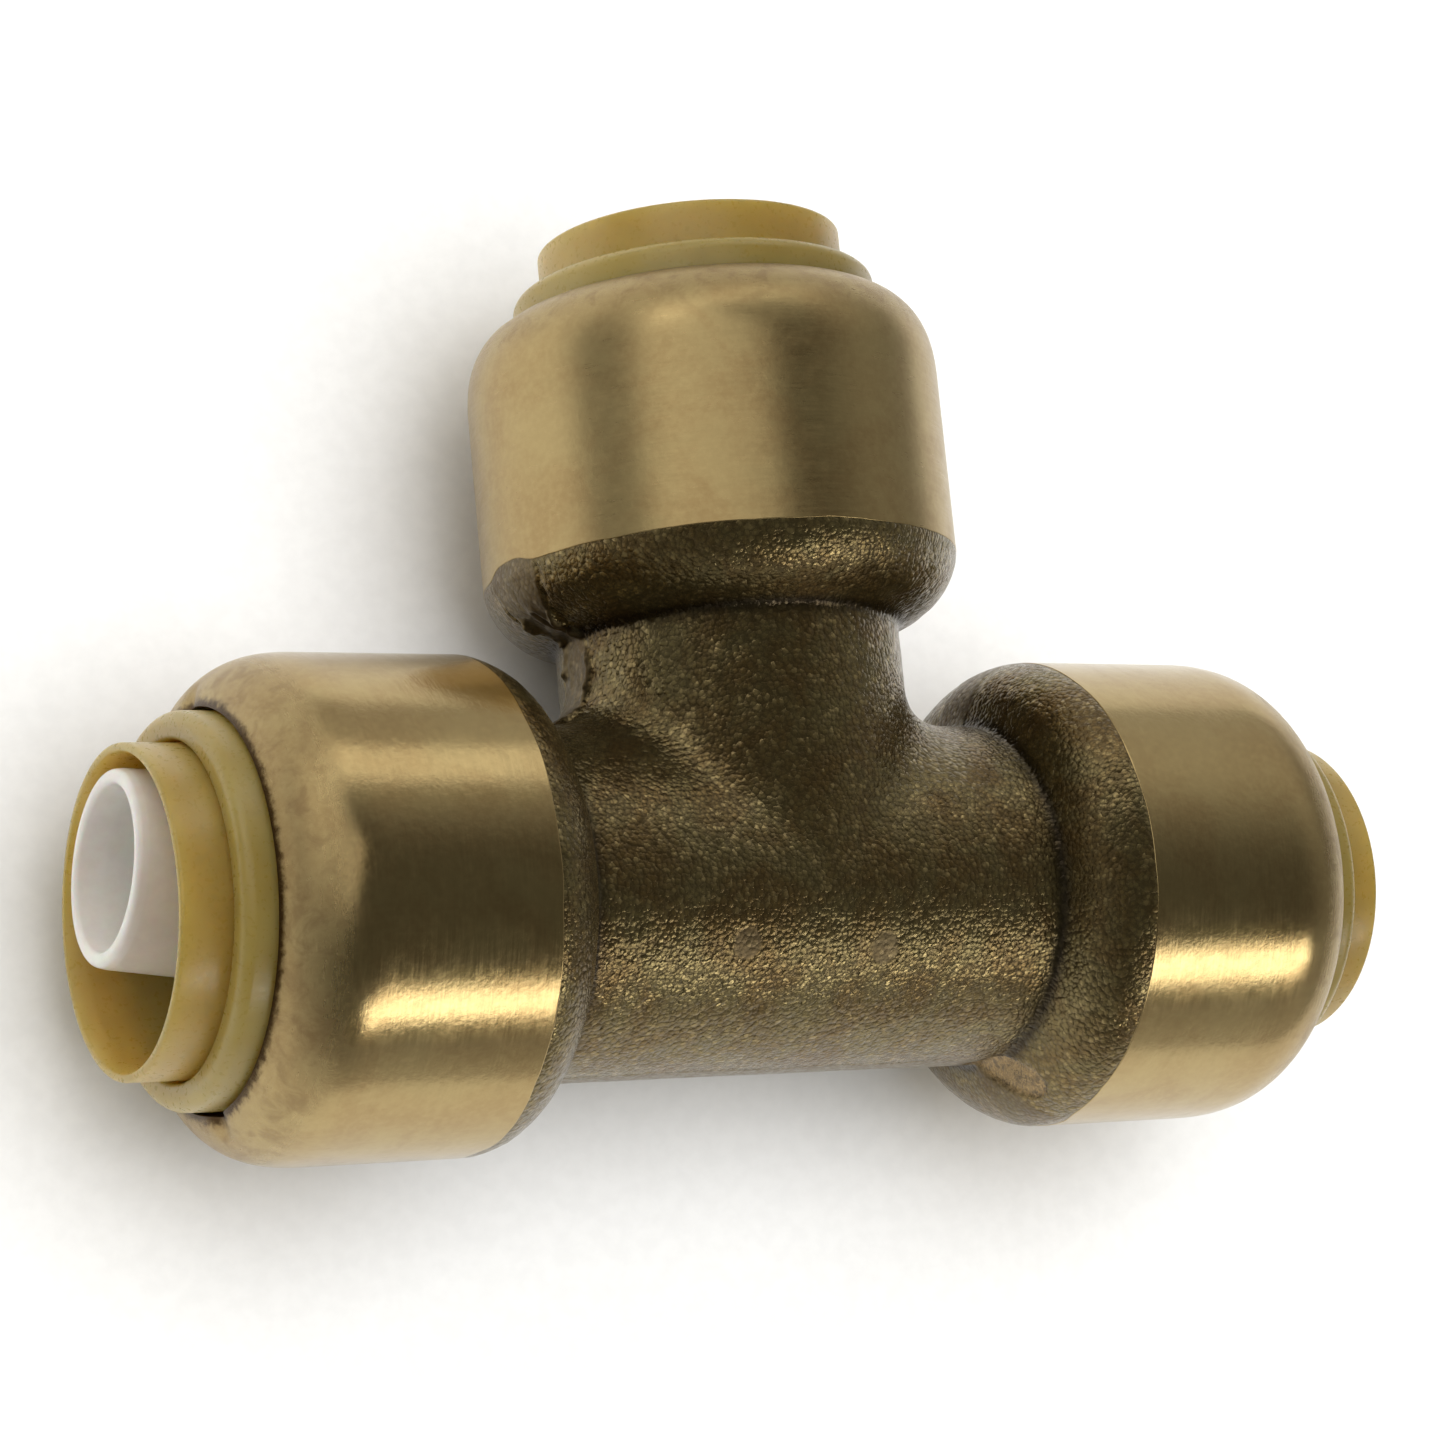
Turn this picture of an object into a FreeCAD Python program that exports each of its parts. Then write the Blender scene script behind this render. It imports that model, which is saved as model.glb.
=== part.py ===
"""Push-fit tube tee: a cast and turned brass body with three tube sockets.

Row frame in millimetres, +Z up. The origin is the crossing of the run and branch centre lines. The run lies
along X, with its ports at -X and +X, and the branch points along +Y. The fitting rests on its three sockets.
Lengths called "from the centre" are measured along a port's own axis from the origin, on the run ports.
The branch port is the same cartridge, set branch_extra further out.
"""
import FreeCAD, Part
import math
import os
import re

import Sketcher

SIZES = {
    # brass body, outside
    "barrel_radius": 9.75,        # cast tube between the sockets, and the branch neck
    "socket_radius": 13.5,        # turned outside of each socket
    "socket_start": 19.1,         # from the centre to where the shoulder reaches the socket radius
    "shoulder_arc": 4.1,          # radius of the rounded shoulder
    "shoulder_sweep": 67.0,       # degrees of arc before the shoulder runs straight down to the barrel
    "shoulder_fillet": 1.0,       # casting fillet in the corner of shoulder and barrel
    "nose_start": 29.0,           # from the centre to where the rolled nose starts
    "nose_arc": 4.2,              # outside radius of the rolled nose
    "nose_opening": 10.6,         # radius of the hole that the rolled nose leaves
    # brass body, inside
    "waterway_radius": 6.6,
    "tube_stop": 12.1,            # from the centre to the step that stops the tube
    "pilot_radius": 8.1,          # bore that guides the tube's end
    "seal_seat": 15.6,            # from the centre to the step behind the O-ring
    "seal_radius": 10.95,         # bore around the O-ring
    "packing_seat": 19.0,         # from the centre to the step behind the guard ring
    "packing_radius": 12.05,      # bore around the guard, grab and retaining rings
    "branch_extra": 0.8,          # the branch cartridge sits this much further out
    "branch_shoulder_extra": 0.3,
    # O-ring
    "seal_centre": 17.3,
    "seal_ring_radius": 9.27,
    "seal_section_radius": 1.66,
    # guard ring between the O-ring and the teeth
    "ring_clearance": 0.05,       # between each ring and the bore or step it sits in
    "guard_bore": 8.25,
    "guard_web": 0.7,             # thickness of the web that faces the O-ring
    "guard_step_radius": 9.3,
    "guard_mouth_radius": 10.15,
    # stainless grab ring
    "grab_seat": 22.4,            # from the centre to the inner face of its flat rim
    "grab_thickness": 0.4,
    "tooth_root_radius": 9.9,
    "tooth_tip_radius": 7.5,
    "tooth_lean": 1.5,            # how far a tooth's tip lies behind its root
    "tooth_gap": 1.0,
    "tooth_count": 16,
    # retaining ring, held by the rolled nose
    "retainer_bore": 8.88,
    "retainer_lip": 26.25,        # from the centre to the face that stops the collar
    "retainer_cavity_radius": 10.3,
    "retainer_face": 34.75,
    "retainer_neck_radius": 10.4,
    "retainer_round": 0.9,
    "retainer_chamfer": 0.2,
    # release collar
    "collar_bore": 8.05,
    "collar_radius": 8.73,
    "collar_end": 22.75,          # from the centre to the end that pushes the teeth
    "collar_rim": 37.4,
    "collar_round": 0.35,
    "collar_lead": 1.0,           # length of the lead-in inside the rim
    "collar_lead_radius": 8.33,
    "barb_radius": 9.6,
    "barb_ramp_start": 23.6,
    "barb_top": 25.2,
    "barb_face": 26.2,
    "collar_slot_width": 1.1,
    "collar_slot_end": 28.0,
    "collar_slot_count": 4,
    # tube liner, measured from the middle of its flange
    "liner_pivot": 13.4,          # from the centre to the middle of the flange
    "liner_lean": 5.4,            # degrees that the two run liners hang towards +Y in their sockets
    "liner_bore": 4.2,
    "liner_flange_radius": 7.2,
    "liner_flange_thickness": 0.9,
    "liner_radius": 5.75,
    "liner_straight_end": 9.6,
    "liner_tip_radius": 5.2,
    "liner_length": 24.8,
}
SHEET = "Dimensions"
PORTS = {  # name: (turn about Z in degrees, how the port leans its liner, how much further out it is)
    "left": (180.0, -1.0, "0"),
    "right": (0.0, 1.0, "0"),
    "branch": (90.0, 0.0, "branch_extra"),
}

doc = FreeCAD.newDocument("push_fit_tee")
sheet = doc.addObject("Spreadsheet::Sheet", SHEET)
for row, (alias, value) in enumerate(SIZES.items(), start=1):
    sheet.set(f"A{row}", alias)
    sheet.set(f"B{row}", str(value))
    sheet.setAlias(f"B{row}", alias)
doc.recompute()


def bound(text):
    """The expression with every size's name pointed at its cell."""
    return re.sub(r"[a-z]+(?:_[a-z]+)+", lambda word: f"{SHEET}.{word.group()}", str(text))


def value_of(text):
    """What the expression comes to with the sheet as it is."""
    return float(sheet.evalExpression(bound(text)))


def origin_feature(body, role):
    """The body's own origin plane or axis of this role."""
    return next(item for item in body.Origin.OriginFeatures if item.Role == role)


def new_body(label):
    body = doc.addObject("PartDesign::Body", label)
    body.Label = label
    return body


def new_sketch(body, name, role="XY_Plane"):
    sketch = body.newObject("Sketcher::SketchObject", name)
    sketch.AttachmentSupport = [(origin_feature(body, role), "")]
    sketch.MapMode = "FlatFace"
    return sketch


def constrain(sketch, kind, place, text, name):
    """A driving size on a sketch, bound to its expression."""
    index = sketch.addConstraint(Sketcher.Constraint(kind, *place, value_of(text)))
    sketch.renameConstraint(index, name)
    sketch.setExpression(f"Constraints.{name}", bound(text))


def arc_between(start, end, radius, turn):
    """The short arc from start to end. It bends left for turn 1 and right for turn -1."""
    chord = end - start
    height = math.sqrt(radius**2 - (chord.Length / 2) ** 2)
    left = FreeCAD.Vector(-chord.y, chord.x, 0).normalize()
    centre = (start + end) / 2 + left * height * turn
    first, last = [math.atan2((p - centre).y, (p - centre).x) for p in (start, end)]
    if turn < 0:
        first, last = last, first
    circle = Part.Circle(centre, FreeCAD.Vector(0, 0, 1), radius)
    return Part.ArcOfCircle(circle, first, last)


def draw_outline(sketch, outline, upright=False):
    """A closed outline. Each step is (along, out) for a line to that point, or (along, out, radius, turn).

    along is measured on the port's axis and out is the distance from it. upright puts the axis on Y, not X.
    """
    def place(step):
        return (step[1], step[0]) if upright else (step[0], step[1])

    corners = [place(step) for step in outline]
    points = [FreeCAD.Vector(value_of(x), value_of(y), 0) for x, y in corners]
    edges = []
    for number, step in enumerate(outline):
        start, end = points[number - 1], points[number]
        if len(step) == 2:
            edge = sketch.addGeometry(Part.LineSegment(start, end))
            edges.append((edge, 1, 2))
        else:
            turn = -step[3] if upright else step[3]
            edge = sketch.addGeometry(arc_between(start, end, value_of(step[2]), turn))
            edges.append((edge, 1, 2) if turn > 0 else (edge, 2, 1))
    for number, (edge, _, finish) in enumerate(edges):
        following, begin, _ = edges[(number + 1) % len(edges)]
        sketch.addConstraint(Sketcher.Constraint("Coincident", edge, finish, following, begin))
    for number, ((edge, _, finish), (x, y)) in enumerate(zip(edges, corners)):
        for kind, text, axis, letter in (("DistanceX", x, -2, "x"), ("DistanceY", y, -1, "y")):
            if text == 0:
                sketch.addConstraint(Sketcher.Constraint("PointOnObject", edge, finish, axis))
            else:
                constrain(sketch, kind, (-1, 1, edge, finish), text, f"{letter}{number}")
        if len(outline[number]) > 2:
            constrain(sketch, "Radius", (edge,), outline[number][2], f"radius{number}")


def turned(body, name, outline, kind="PartDesign::Revolution", upright=False):
    """The outline turned a full circle about the port's axis, added to the body or cut from it."""
    before = body.Shape.Volume if body.Tip else 0.0
    sketch = new_sketch(body, f"{name}_sketch")
    draw_outline(sketch, outline, upright)
    feature = body.newObject(kind, name)
    feature.Profile = sketch
    feature.ReferenceAxis = (sketch, ["V_Axis" if upright else "H_Axis"])
    feature.Angle = 360.0
    doc.recompute()
    change = body.Shape.Volume - before
    if (change > 0) != (kind == "PartDesign::Revolution"):
        raise RuntimeError(f"{name} changed the volume of {body.Label} by {change:.1f} mm3")
    return feature


def mirrored(body, feature):
    """The feature again on the -X side."""
    mirror = body.newObject("PartDesign::Mirrored", f"{feature.Name}_left")
    mirror.Originals = [feature]
    mirror.MirrorPlane = (origin_feature(body, "YZ_Plane"), [""])
    body.Tip = mirror
    doc.recompute()
    return mirror


def radial_slots(body, name, corners, count):
    """Slots through the wall, cut from a rectangle on the plane across the port's axis or along it.

    corners are (role, low x, low y, width, height) in that plane.
    """
    role, low_x, low_y, width, height = corners
    before = body.Shape.Volume
    sketch = new_sketch(body, f"{name}_sketch", role)
    x0, y0, dx, dy = [value_of(text) for text in (low_x, low_y, width, height)]
    ring = [(x0, y0), (x0 + dx, y0), (x0 + dx, y0 + dy), (x0, y0 + dy)]
    spots = [FreeCAD.Vector(x, y, 0) for x, y in ring]
    for number, spot in enumerate(spots):
        sketch.addGeometry(Part.LineSegment(spot, spots[(number + 1) % 4]))
    for number in range(4):
        sketch.addConstraint(Sketcher.Constraint("Coincident", number, 2, (number + 1) % 4, 1))
        sketch.addConstraint(Sketcher.Constraint(("Horizontal", "Vertical")[number % 2], number))
    constrain(sketch, "DistanceX", (-1, 1, 0, 1), low_x, "low_x")
    constrain(sketch, "DistanceY", (-1, 1, 0, 1), low_y, "low_y")
    constrain(sketch, "DistanceX", (0, 1, 0, 2), width, "width")
    constrain(sketch, "DistanceY", (1, 1, 1, 2), height, "height")
    pocket = body.newObject("PartDesign::Pocket", name)
    pocket.Profile = sketch
    pocket.Type = "ThroughAll"
    pocket.Midplane = True
    doc.recompute()
    pattern = body.newObject("PartDesign::PolarPattern", f"{name}_around")
    pattern.Originals = [pocket]
    pattern.Axis = (origin_feature(body, "X_Axis"), [""])
    pattern.Angle = 360.0
    pattern.setExpression("Occurrences", bound(count))
    body.Tip = pattern
    doc.recompute()
    if not body.Shape.Volume < before:
        raise RuntimeError(f"{name} cut nothing from {body.Label}")


def socket_outside(extra="0", shoulder_extra="0"):
    """Half of a tube with one socket, solid, from the centre to the end of the rolled nose."""
    across = "shoulder_arc * sin(shoulder_sweep)"
    down = "shoulder_arc * (1 - cos(shoulder_sweep))"
    drop = f"(socket_radius - {down} - barrel_radius)"
    start = f"socket_start + {shoulder_extra}"
    nose_reach = "sqrt(nose_arc^2 - (nose_opening - socket_radius + nose_arc)^2)"
    return [
        (0, 0),
        (0, "barrel_radius"),
        (f"{start} - {across} - {drop} * cos(shoulder_sweep) / sin(shoulder_sweep)", "barrel_radius"),
        (f"{start} - {across}", f"socket_radius - {down}"),
        (start, "socket_radius", "shoulder_arc", -1),
        (f"nose_start + {extra}", "socket_radius"),
        (f"nose_start + {nose_reach} + {extra}", "nose_opening", "nose_arc", -1),
        (f"nose_start + {nose_reach} + {extra}", 0),
    ]


def socket_inside(extra="0"):
    """The waterway and the stepped bores of one socket, out through the rolled nose."""
    inner_arc = "(nose_arc - socket_radius + packing_radius)"
    inner_reach = f"sqrt({inner_arc}^2 - (nose_opening - socket_radius + nose_arc)^2)"
    past_nose = f"nose_start + 2 * nose_arc + {extra}"
    return [
        (0, 0),
        (0, "waterway_radius"),
        (f"tube_stop + {extra}", "waterway_radius"),
        (f"tube_stop + {extra}", "pilot_radius"),
        (f"seal_seat + {extra}", "pilot_radius"),
        (f"seal_seat + {extra}", "seal_radius"),
        (f"packing_seat + {extra}", "seal_radius"),
        (f"packing_seat + {extra}", "packing_radius"),
        (f"nose_start + {extra}", "packing_radius"),
        (f"nose_start + {inner_reach} + {extra}", "nose_opening", inner_arc, -1),
        (past_nose, "nose_opening"),
        (past_nose, 0),
    ]


def shoulder_corners(shape):
    """Names of the round edges where a shoulder meets the barrel or the branch neck."""
    radius = value_of("barrel_radius")
    names = []
    for number, edge in enumerate(shape.Edges, start=1):
        curve = edge.Curve
        whole_radius = isinstance(curve, Part.Circle) and abs(curve.Radius - radius) < 1e-4
        if whole_radius and curve.Center.Length > radius:
            names.append(f"Edge{number}")
    return names


def make_tee_body():
    """One brass casting with its sockets turned outside, bored inside and rolled over at the nose."""
    body = new_body("tee_body")
    mirrored(body, turned(body, "run_outside", socket_outside()))
    branch = socket_outside("branch_extra", "branch_shoulder_extra")
    outside = turned(body, "branch_outside", branch, upright=True)
    fillet = body.newObject("PartDesign::Fillet", "shoulder_corner")
    fillet.Base = (outside, shoulder_corners(outside.Shape))
    fillet.setExpression("Radius", bound("shoulder_fillet"))
    doc.recompute()
    mirrored(body, turned(body, "run_bore", socket_inside(), "PartDesign::Groove"))
    turned(body, "branch_bore", socket_inside("branch_extra"), "PartDesign::Groove", upright=True)
    return body


def make_release_collar(label):
    """Thin sleeve that the tube goes through. Pushed in, its plain end spreads the teeth."""
    body = new_body(label)
    turned(body, "sleeve", [
        ("collar_end", "collar_bore"),
        ("collar_end", "collar_radius"),
        ("barb_ramp_start", "collar_radius"),
        ("barb_top", "barb_radius"),
        ("barb_face", "barb_radius"),
        ("barb_face", "collar_radius"),
        ("collar_rim - collar_round", "collar_radius"),
        ("collar_rim", "collar_radius - collar_round", "collar_round", -1),
        ("collar_rim", "collar_lead_radius"),
        ("collar_rim - collar_lead", "collar_bore"),
    ])
    slot = ("XY_Plane", "collar_end - collar_slot_width", "0 - collar_slot_width / 2",
            "collar_slot_end - collar_end + collar_slot_width", "collar_slot_width")
    radial_slots(body, "slot", slot, "collar_slot_count / 2")
    return body


def make_retaining_ring(label):
    """Ring that the rolled nose holds in, with a lip that keeps the collar's barb."""
    arc = "(nose_arc - socket_radius + packing_radius - 2 * ring_clearance)"
    centre = "(socket_radius - nose_arc)"
    reach = f"sqrt({arc}^2 - (retainer_neck_radius - {centre})^2)"
    inner_end = "grab_seat + grab_thickness + ring_clearance"
    body = new_body(label)
    turned(body, "ring", [
        (inner_end, "retainer_cavity_radius"),
        (inner_end, f"{centre} + {arc}"),
        ("nose_start", f"{centre} + {arc}"),
        (f"nose_start + {reach}", "retainer_neck_radius", arc, -1),
        ("retainer_face - retainer_round", "retainer_neck_radius"),
        ("retainer_face", "retainer_neck_radius - retainer_round", "retainer_round", -1),
        ("retainer_face", "retainer_bore + retainer_chamfer"),
        ("retainer_face - retainer_chamfer", "retainer_bore"),
        ("retainer_lip", "retainer_bore"),
        ("retainer_lip", "retainer_cavity_radius"),
    ])
    return body


def make_grab_ring(label):
    """Spring steel washer whose teeth lean inwards and bite the tube when it is pulled."""
    fall = "(tooth_root_radius - tooth_tip_radius)"
    slant = f"sqrt({fall}^2 + tooth_lean^2)"
    tip = "grab_seat + grab_thickness - tooth_lean"
    body = new_body(label)
    turned(body, "washer", [
        ("grab_seat", "packing_radius - ring_clearance"),
        ("grab_seat + grab_thickness", "packing_radius - ring_clearance"),
        ("grab_seat + grab_thickness", "tooth_root_radius"),
        (tip, "tooth_tip_radius"),
        (f"{tip} - grab_thickness * {fall} / {slant}",
         f"tooth_tip_radius + grab_thickness * tooth_lean / {slant}"),
        ("grab_seat", f"tooth_root_radius + grab_thickness * ({slant} - {fall}) / tooth_lean"),
    ])
    gap = ("YZ_Plane", "0 - tooth_gap / 2", "tooth_tip_radius - tooth_gap",
           "tooth_gap", "tooth_root_radius - tooth_tip_radius + tooth_gap")
    radial_slots(body, "gap", gap, "tooth_count")
    return body


def make_guard_ring(label):
    """Ring that keeps the teeth off the O-ring and gives them room to spread."""
    inner_end = "packing_seat + ring_clearance"
    outer_end = "grab_seat - ring_clearance"
    body = new_body(label)
    turned(body, "ring", [
        (inner_end, "guard_bore"),
        (inner_end, "packing_radius - ring_clearance"),
        (outer_end, "packing_radius - ring_clearance"),
        (outer_end, "guard_mouth_radius"),
        (f"{inner_end} + guard_web", "guard_step_radius"),
        (f"{inner_end} + guard_web", "guard_bore"),
    ])
    return body


def make_tube_liner(label):
    """Loose stiffener that supports a plastic tube from inside, with a flange that the tube's end pushes on."""
    wall_round = "(liner_tip_radius - liner_bore) / 2"
    body = new_body(label)
    turned(body, "liner", [
        ("0 - liner_flange_thickness / 2", "liner_bore"),
        ("0 - liner_flange_thickness / 2", "liner_flange_radius"),
        ("liner_flange_thickness / 2", "liner_flange_radius"),
        ("liner_flange_thickness / 2", "liner_radius"),
        ("liner_straight_end", "liner_radius"),
        (f"liner_length - {wall_round}", "liner_tip_radius"),
        ("liner_length", f"liner_bore + {wall_round}", wall_round, -1),
        (f"liner_length - {wall_round}", "liner_bore", wall_round, -1),
    ])
    return body


def make_o_ring(label):
    """Rubber ring that seals on the tube. A plain torus whose axis is turned onto the port's."""
    ring = doc.addObject("Part::Torus", label)
    ring.Label = label
    ring.setExpression("Radius1", bound("seal_ring_radius"))
    ring.setExpression("Radius2", bound("seal_section_radius"))
    return ring


def put_in_port(piece, port, along="0", own_turn=None, lean=False):
    """Turn a piece made along +X into its port, moved out along the port's axis."""
    turn, lean_side, extra = PORTS[port]
    outward = FreeCAD.Rotation(FreeCAD.Vector(0, 0, 1), turn).multVec(FreeCAD.Vector(1, 0, 0))
    distance = f"({along} + {extra})"
    angle = turn + (lean_side * value_of("liner_lean") if lean else 0.0)
    rotation = FreeCAD.Rotation(FreeCAD.Vector(0, 0, 1), angle)
    piece.Placement = FreeCAD.Placement(FreeCAD.Vector(), rotation * (own_turn or FreeCAD.Rotation()))
    piece.setExpression(".Placement.Base.x", bound(f"{round(outward.x)} * {distance}"))
    piece.setExpression(".Placement.Base.y", bound(f"{round(outward.y)} * {distance}"))


pieces = [make_tee_body()]
for port_name in PORTS:
    for maker, kind in (
        (make_release_collar, "release_collar"),
        (make_retaining_ring, "retaining_ring"),
        (make_grab_ring, "grab_ring"),
        (make_guard_ring, "guard_ring"),
    ):
        piece = maker(f"{port_name}_{kind}")
        put_in_port(piece, port_name)
        pieces.append(piece)
    seal = make_o_ring(f"{port_name}_o_ring")
    put_in_port(seal, port_name, "seal_centre", FreeCAD.Rotation(FreeCAD.Vector(0, 1, 0), 90))
    liner = make_tube_liner(f"{port_name}_tube_liner")
    put_in_port(liner, port_name, "liner_pivot", lean=True)
    pieces += [seal, liner]
doc.recompute()

for item in doc.Objects:
    if "Invalid" in item.State or "Error" in item.State:
        raise RuntimeError(f"{item.Label} failed: {item.State}")
for piece in pieces:
    if piece.Shape.isNull() or not piece.Shape.isValid() or len(piece.Shape.Solids) != 1:
        raise RuntimeError(f"{piece.Label} is not one valid solid")

os.makedirs("parts", exist_ok=True)
for piece in pieces:
    piece.Shape.exportStep(f"parts/{piece.Label}.step")
    box = piece.Shape.BoundBox
    print(f"{piece.Label}: {piece.Shape.Volume:.1f} mm3, x {box.XMin:.2f} to {box.XMax:.2f}, "
          f"y {box.YMin:.2f} to {box.YMax:.2f}, z {box.ZMin:.2f} to {box.ZMax:.2f}")
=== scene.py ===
"""Looks of the push-fit tube tee: a cast brass body with turned sockets, cream collars and white liners."""
import math
from collections import namedtuple

import bmesh
import bpy
import numpy as np
from mathutils import Euler, Matrix, Vector


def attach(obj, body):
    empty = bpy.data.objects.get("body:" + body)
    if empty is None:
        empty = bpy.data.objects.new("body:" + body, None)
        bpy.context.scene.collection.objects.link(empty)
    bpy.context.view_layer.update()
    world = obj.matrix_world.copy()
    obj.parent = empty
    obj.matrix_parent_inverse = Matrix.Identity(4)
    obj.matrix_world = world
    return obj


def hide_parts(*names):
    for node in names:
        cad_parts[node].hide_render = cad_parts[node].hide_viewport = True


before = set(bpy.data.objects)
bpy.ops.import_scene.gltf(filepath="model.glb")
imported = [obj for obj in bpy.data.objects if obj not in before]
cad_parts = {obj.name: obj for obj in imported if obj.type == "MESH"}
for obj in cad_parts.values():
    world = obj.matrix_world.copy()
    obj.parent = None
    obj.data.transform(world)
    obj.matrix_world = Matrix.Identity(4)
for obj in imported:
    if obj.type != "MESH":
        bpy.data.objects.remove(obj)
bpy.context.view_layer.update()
MM = 0.001

# ---------------------------------------------------------------- sizes, in millimetres
# Each port's turn about Z in degrees, how much further out it sits than the others, and how far from the
# centre of the tee its turned skin starts. The other lengths along a port leave its extra out.
Port = namedtuple("Port", "turn extra edge")
PORTS = {
    "left": Port(180.0, 0.0, 18.6),
    "right": Port(0.0, 0.0, 18.1),
    "branch": Port(90.0, 0.8, 18.6),
}
BARREL_R, SOCKET_R = 9.75, 13.49
SHOULDER_ARC, SHOULDER_SWEEP = 4.1, math.radians(67.0)
SHOULDER_REACH = SHOULDER_ARC * math.sin(SHOULDER_SWEEP)

# The turned nose: it starts to curve NOSE_EASE early, and more gently than an arc.
NOSE_START, NOSE_ARC, NOSE_OPENING = 29.0, 4.2, 10.6
NOSE_REACH = math.sqrt(NOSE_ARC**2 - (NOSE_OPENING - SOCKET_R + NOSE_ARC) ** 2)
NOSE_EASE, NOSE_POWER = 1.0, 2.4

# The bores of a socket, and the pieces in it.
PACKING_R, PACKING_SEAT = 12.05, 19.0
SEAL_R, SEAL_SEAT = 10.95, 15.6
PILOT_R, TUBE_STOP, WATERWAY_R = 8.1, 12.1, 6.6
COLLAR_R, COLLAR_BORE, COLLAR_END, COLLAR_RIM = 8.73, 8.05, 22.75, 37.4
RING_BORE, RING_NECK_R, RING_FACE = 8.88, 10.4, 34.75
RING_INNER, RING_LIP, RING_CAVITY_R = 22.85, 26.25, 10.3
LINER_PIVOT, LINER_LEAN, LINER_BORE, LINER_LENGTH = 13.4, math.radians(5.4), 4.2, 24.79

# The nose's lip is pushed back and outwards where the parting plane crosses it.
LIP_BACK, LIP_OUT, LIP_HALF_WIDTH = 0.5, 0.12, 0.8

# The casting. Its mesh runs on a little under the turned skins.
CAST_END, UNDER_SKIN, UNDER_LENGTH = 19.9, 0.02, 2.0
VOXEL, QUICK_VOXEL, END_MARGIN = 0.21, 0.34, 0.6  # the margin is in voxels
DEEPEST_OUTSIDE = 2.4  # points further than this under the casting's skin belong to the bores
LAST_EDGE = 19.2  # no turned skin starts further out than this
EDGE_WAVE, EDGE_WAVE_SIZE = 0.055, 2.6
EDGE_AT_PARTING, PARTING_REACH = 0.45, 2.2  # a skin starts this much further out, this near the parting plane
SHOULDER_FILLET, SHOULDER_PAST_EDGE, SHOULDER_PROUD = 0.7, 0.6, 0.045
CORNER_FROM_EDGE = SHOULDER_PAST_EDGE - SHOULDER_REACH - 0.56  # of the corner painted darker for shade and dirt, negative inwards
CORNER_FROM_BARREL, CORNER_R = 0.15, 0.5

# The casting's bores are moved out to clear the turned sockets' own, from this X in the run and this Y in the
# branch. Past the second Y, none of the run's bores are near.
BORE_CLEARANCE, BORE_EASE, WIDEST_BORE = 0.5, 1.25, 13.3
RUN_BORE_START, BRANCH_BORE_START, CLEAR_OF_RUN = 11.2, 12.0, 13.4
THINNEST_WALL, WALL_KEPT_TO = 0.45, 17.5  # this much wall is left, as far out as this

# The flash was trimmed on the branch's two sides, the run's far side, and the run's shoulders by the branch.
STRIP_HALF_WIDTH, STRIP_MIDDLE, STRIP_WANDER = 1.35, 0.1, 0.22
NECK_START, NECK_END = 9.3, 19.6  # the branch's strips, in Y
RUN_END, BELLY, ABOVE_RUN = 17.8, -6, 9  # the run's strips end at this X, and lie beyond these two Ys
BESIDE_BRANCH = 14  # the branch's strips lie within this X, and those on the run's shoulders beyond it
FLASH_LIP, FLASH_SPLIT = 0.26, 0.34

# The casting's other marks.
EJECTOR_R, EJECTOR_DEPTH, EJECTOR_GROOVE = 0.9, 0.05, 0.03
EJECTOR_MARKS = [(-5.7, -3.75), (2.95, -4.2)]  # the X and Y of their middles
CRACK = ((-12.1, 16.3, 0.4), (-9.9, 14.8, 1.5))  # its two ends, before they are moved onto the skin
CRACK_LIP, CRACK_DEPTH = 0.14, 0.42
FILED_R, FILED_DEPTH = 1.15, 0.16
FILED = [  # the line that each patch is filed along
    ((13.9, -9.95, 0.3), (15.3, -11.3, 2.8)),
    ((-14.3, -10.2, -0.4), (-15.3, -11.2, 1.6)),
]


# ---------------------------------------------------------------- mesh helpers
def mesh_object(name, points, faces, smooth=True):
    """A mesh object from points in millimetres."""
    mesh = bpy.data.meshes.new(name)
    mesh.from_pydata([tuple(p) for p in np.asarray(points, float) * MM], [], faces)
    mesh.update()
    mesh.polygons.foreach_set("use_smooth", [smooth] * len(mesh.polygons))
    piece = bpy.data.objects.new(name, mesh)
    bpy.context.scene.collection.objects.link(piece)
    return piece


def rounded(corners, fine=0.18):
    """A closed outline with its corners rounded. Each corner is (along, out, radius)."""
    outline = []
    count = len(corners)
    for number, (x, y, radius) in enumerate(corners):
        here = np.array((x, y))
        before = np.array(corners[number - 1][:2])
        after = np.array(corners[(number + 1) % count][:2])
        if radius <= 0:
            outline.append(here)
            continue
        back, ahead = before - here, after - here
        reach = [np.linalg.norm(back), np.linalg.norm(ahead)]
        back, ahead = back / reach[0], ahead / reach[1]
        half = math.acos(np.clip(back @ ahead, -1, 1)) / 2
        setback = min(radius / math.tan(half), 0.49 * min(reach))
        radius = setback * math.tan(half)
        middle = back + ahead
        centre = here + middle / np.linalg.norm(middle) * (radius / math.sin(half))
        first, last = here + back * setback - centre, here + ahead * setback - centre
        start = math.atan2(first[1], first[0])
        sweep = (math.atan2(last[1], last[0]) - start + math.pi) % (2 * math.pi) - math.pi
        steps = max(3, int(abs(sweep) * radius / fine))
        for step in range(steps + 1):
            angle = start + sweep * step / steps
            outline.append(centre + radius * np.array((math.cos(angle), math.sin(angle))))
    return outline


def spaced(outline, longest):
    """The closed outline with its long sides divided."""
    divided = []
    for number, point in enumerate(outline):
        following = outline[(number + 1) % len(outline)]
        steps = max(1, math.ceil(np.linalg.norm(following - point) / longest))
        divided += [point + (following - point) * step / steps for step in range(steps)]
    return divided


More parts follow.
